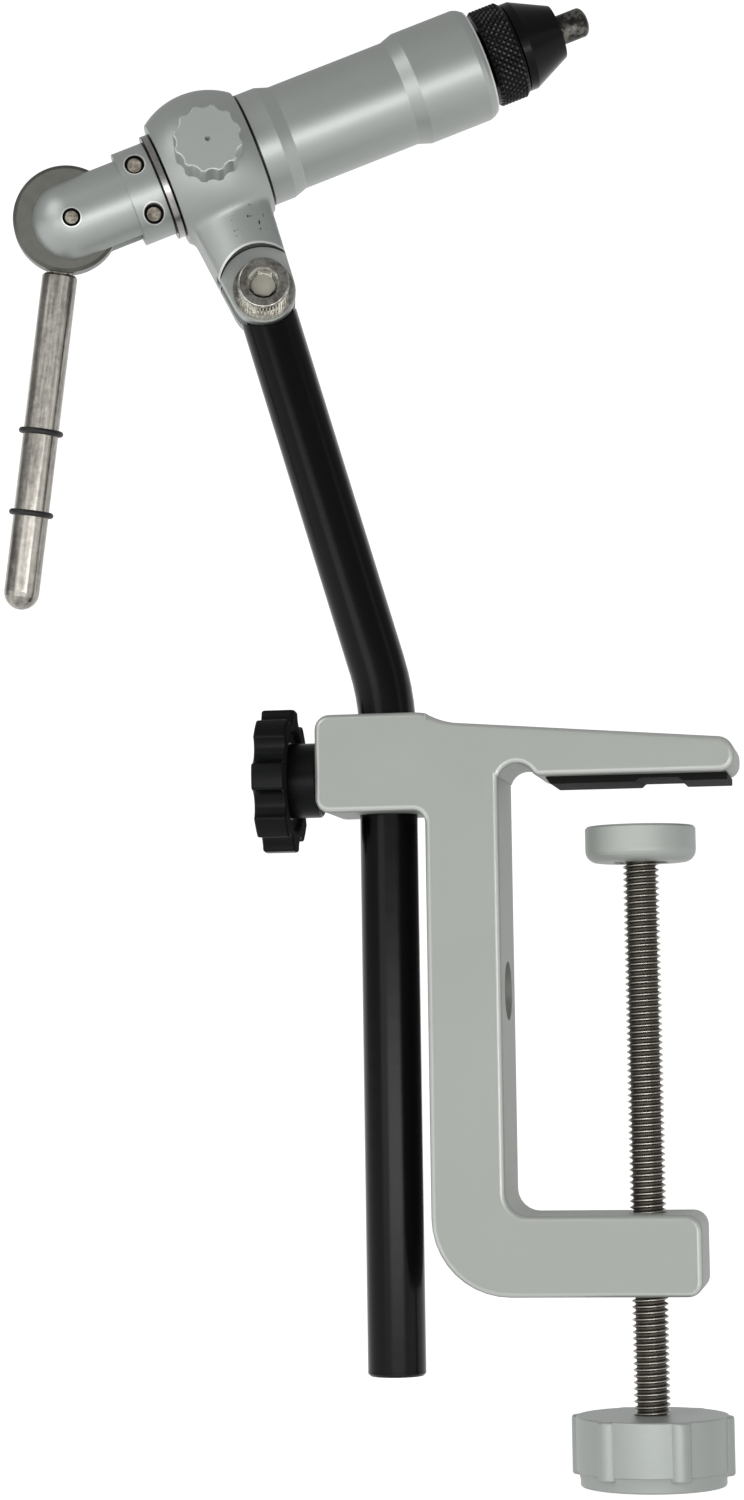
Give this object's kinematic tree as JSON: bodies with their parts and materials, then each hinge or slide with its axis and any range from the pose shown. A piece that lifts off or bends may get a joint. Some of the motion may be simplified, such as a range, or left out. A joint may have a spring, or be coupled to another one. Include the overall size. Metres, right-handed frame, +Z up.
{
  "type": "fly tying vise",
  "caption": "Bench-clamped fly tying vise: a cam-lever collet in a turning barrel, carried by a tilting ball-shaped housing on a bent stem that slides and turns in the clamp.",
  "frame": {"origin": "on the rubber face of the fixed jaw, on the clamp's middle plane, between the end of the rubber and its groove", "axes": "+Z up, against the underside of the table top that the jaw rests on; +X from the spine to the tip of the jaw, -Y towards the side with the drag knob"},
  "size_m": [0.1213, 0.0385, 0.246],
  "materials": {
    "satin_grey": "fine bead-blasted grey with a satin sheen",
    "satin_aluminium": "satin turned aluminium",
    "steel": "machined steel, lightly brushed",
    "screw_steel": "worn stainless steel with a warm tint",
    "spring_steel": "drawn spring wire",
    "tool_steel": "hardened tool steel, dark and worn bright at the edges",
    "black_oxide": "black oxide with bright wear on the crests",
    "gloss_black": "smooth gloss black",
    "black_plastic": "semi-gloss moulded black",
    "bronze": "plain bearing bronze",
    "rubber": "matt charcoal rubber",
    "black_rubber": "smooth black rubber"
  },
  "bodies": {
    "clamp": {"clamp_frame": "satin_grey", "jaw_rubber": "rubber"},
    "pad": {"swivel_pad": "satin_grey", "pad_retainer": "steel"},
    "screw": {"clamp_screw": "screw_steel", "clamp_knob": "satin_aluminium", "knob_grub_screw": "black_oxide"},
    "lock_shoe": {"lock_shoe": "bronze"},
    "lock": {"lock_stud": "steel", "lock_knob": "black_plastic"},
    "stem_slider": {"stem_plug": "gloss_black"},
    "stem": {"stem": "gloss_black"},
    "head": {"head_housing": "satin_aluminium", "rear_bush": "bronze", "front_bush": "bronze", "pivot_bolt": "steel", "pivot_washers": "steel", "pivot_nut": "steel"},
    "drag_shoe": {"drag_shoe": "bronze"},
    "drag": {"drag_screw": "steel", "drag_knob": "satin_aluminium"},
    "barrel": {"spindle": "steel", "barrel_sleeve": "satin_aluminium", "thrust_washer": "steel", "cam_yoke": "satin_aluminium", "yoke_pins": "steel", "cam_pivot_pin": "steel", "return_spring": "spring_steel"},
    "cam": {"cam_disc": "steel", "lever_rod": "screw_steel", "lever_o_rings": "black_rubber"},
    "draw": {"draw_bar": "steel", "collet": "tool_steel"},
    "nose": {"nose_cone": "black_oxide", "ring_clip": "spring_steel"},
    "ring": {"adjusting_ring": "black_oxide"}
  },
  "joints": [
    {"name": "pad_slide", "type": "slide", "parent": "clamp", "child": "pad", "axis": [0, 0, 1], "range_m": [-0.056, 0.0065]},
    {"name": "screw_turn", "type": "hinge", "parent": "pad", "child": "screw", "pos_m": [0.009, 0, -0.0076], "axis": [0, 0, 1], "range_deg": [-20160, 2340]},
    {"name": "lock_shoe_slide", "type": "slide", "parent": "clamp", "child": "lock_shoe", "axis": [1, 0, 0], "range_m": [-0.002, 0]},
    {"name": "lock_turn", "type": "hinge", "parent": "lock_shoe", "child": "lock", "pos_m": [-0.0434, 0, 0.00215], "axis": [1, 0, 0], "range_deg": [-720, 0]},
    {"name": "stem_height", "type": "slide", "parent": "clamp", "child": "stem_slider", "axis": [0, 0, 1], "range_m": [0, 0.08]},
    {"name": "stem_swing", "type": "hinge", "parent": "stem_slider", "child": "stem", "pos_m": [-0.03246, 0, 0.004], "axis": [0, 0, 1], "continuous": true},
    {"name": "head_tilt", "type": "hinge", "parent": "stem", "child": "head", "pos_m": [-0.05183, -0.00376, 0.083], "axis": [-0.1908, 0.9816, 0], "range_deg": [-30, 35]},
    {"name": "drag_shoe_slide", "type": "slide", "parent": "head", "child": "drag_shoe", "axis": [-0.1908, 0.9816, 0], "range_m": [-0.001, 0]},
    {"name": "drag_turn", "type": "hinge", "parent": "drag_shoe", "child": "drag", "pos_m": [-0.05756, -0.02016, 0.10524], "axis": [-0.1908, 0.9816, 0], "range_deg": [-450, 0]},
    {"name": "barrel_turn", "type": "hinge", "parent": "head", "child": "barrel", "pos_m": [-0.06043, -0.00544, 0.10524], "axis": [0.9133, 0.1775, 0.3665], "continuous": true},
    {"name": "cam_turn", "type": "hinge", "parent": "barrel", "child": "cam", "pos_m": [-0.08312, -0.00985, 0.09613], "axis": [-0.2332, 0.9658, 0.1134], "range_deg": [0, 71]},
    {"name": "draw_slide", "type": "slide", "parent": "barrel", "child": "draw", "axis": [0.9133, 0.1775, 0.3665], "range_m": [0, 0.00104], "deforming": ["return_spring"]},
    {"name": "nose_slide", "type": "slide", "parent": "barrel", "child": "nose", "axis": [0.9133, 0.1775, 0.3665], "range_m": [-0.00033, 0.0015]},
    {"name": "ring_turn", "type": "hinge", "parent": "nose", "child": "ring", "pos_m": [-0.0125, 0.00388, 0.12447], "axis": [0.9133, 0.1775, 0.3665], "range_deg": [-120, 540]}
  ],
  "couplings": [
    {"joint": "screw_turn", "follows": "pad_slide", "rad_per_m": 6283.2},
    {"joint": "lock_turn", "follows": "lock_shoe_slide", "rad_per_m": 6283.2},
    {"joint": "drag_turn", "follows": "drag_shoe_slide", "rad_per_m": 7854},
    {"joint": "cam_turn", "follows": "draw_slide", "rad_per_m": 1193.3},
    {"joint": "ring_turn", "follows": "nose_slide", "rad_per_m": 6283.2}
  ]
}
